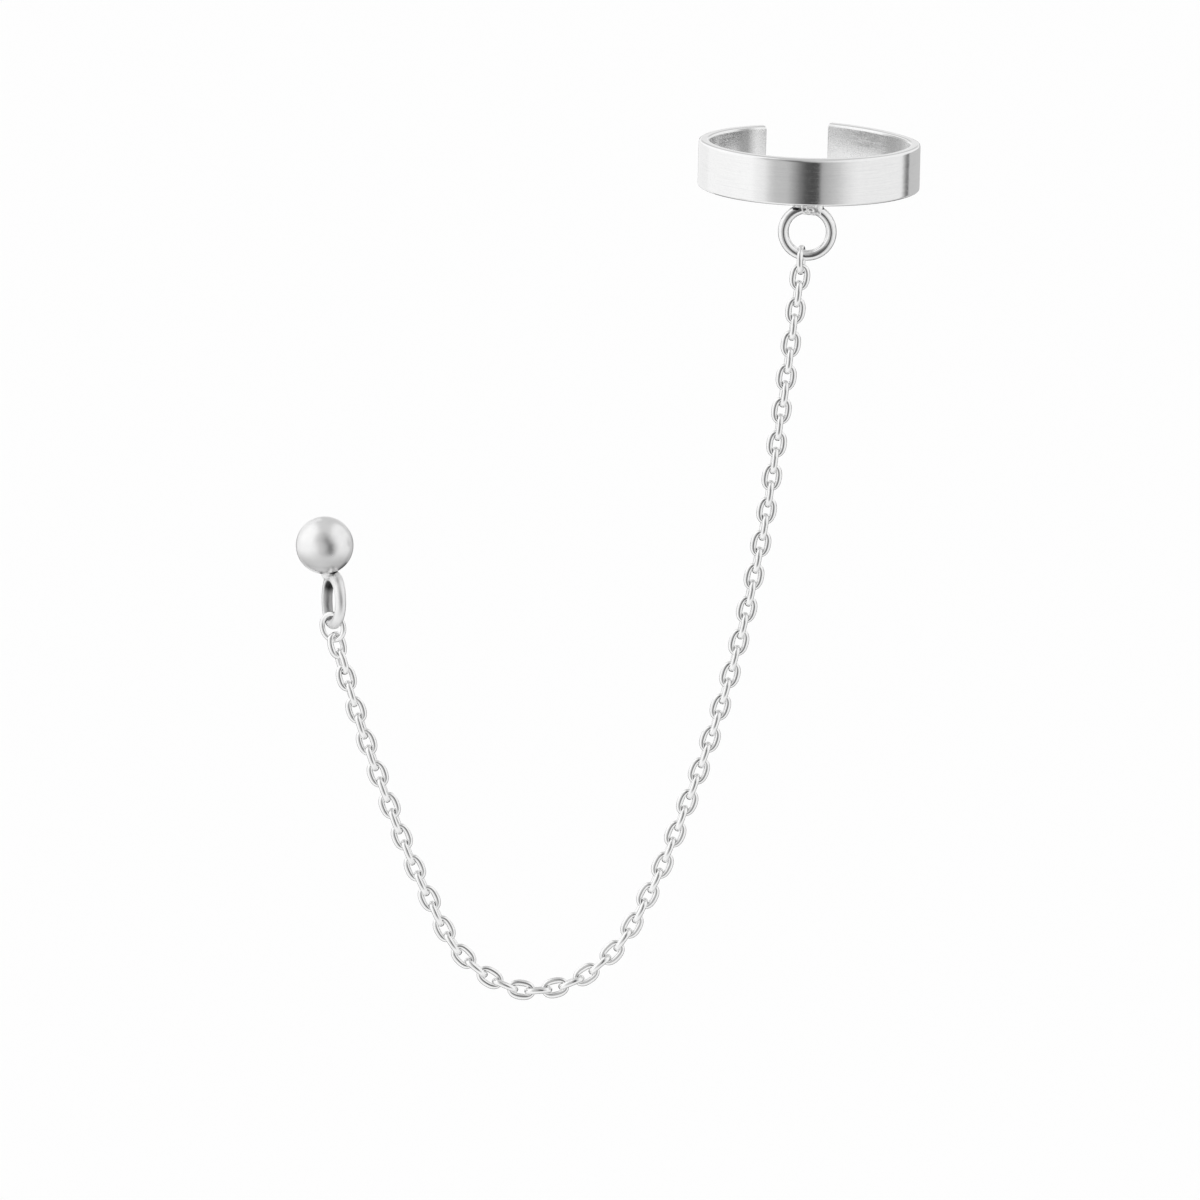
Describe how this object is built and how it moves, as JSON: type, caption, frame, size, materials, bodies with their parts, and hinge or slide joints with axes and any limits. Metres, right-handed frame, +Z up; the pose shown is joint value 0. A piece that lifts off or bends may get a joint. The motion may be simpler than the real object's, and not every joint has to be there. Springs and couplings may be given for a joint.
{
  "type": "ear chain earring",
  "caption": "Silver ear cuff with a soldered ring under its front, joined by a hanging cable chain to a round ball stud with a loop below and a plain straight post behind.",
  "frame": {"origin": "centre of the cuff's round front, half way up its band, where the ear's rim sits", "axes": "+Z up along the cuff's axis as it hangs, -Y towards the viewer and out of the ear, +X to the viewer's right; the stud hangs towards -X"},
  "size_m": [0.032, 0.0129, 0.045],
  "materials": {
    "cuff_silver": "polished silver with faint rubbing marks",
    "wire_silver": "bright drawn silver wire",
    "ball_silver": "softly polished silver"
  },
  "bodies": {
    "root": {"ear_cuff": "cuff_silver", "upper_jump_ring": "wire_silver", "chain": "wire_silver", "lower_jump_ring": "wire_silver", "ball_stud": "ball_silver"}
  },
  "joints": []
}
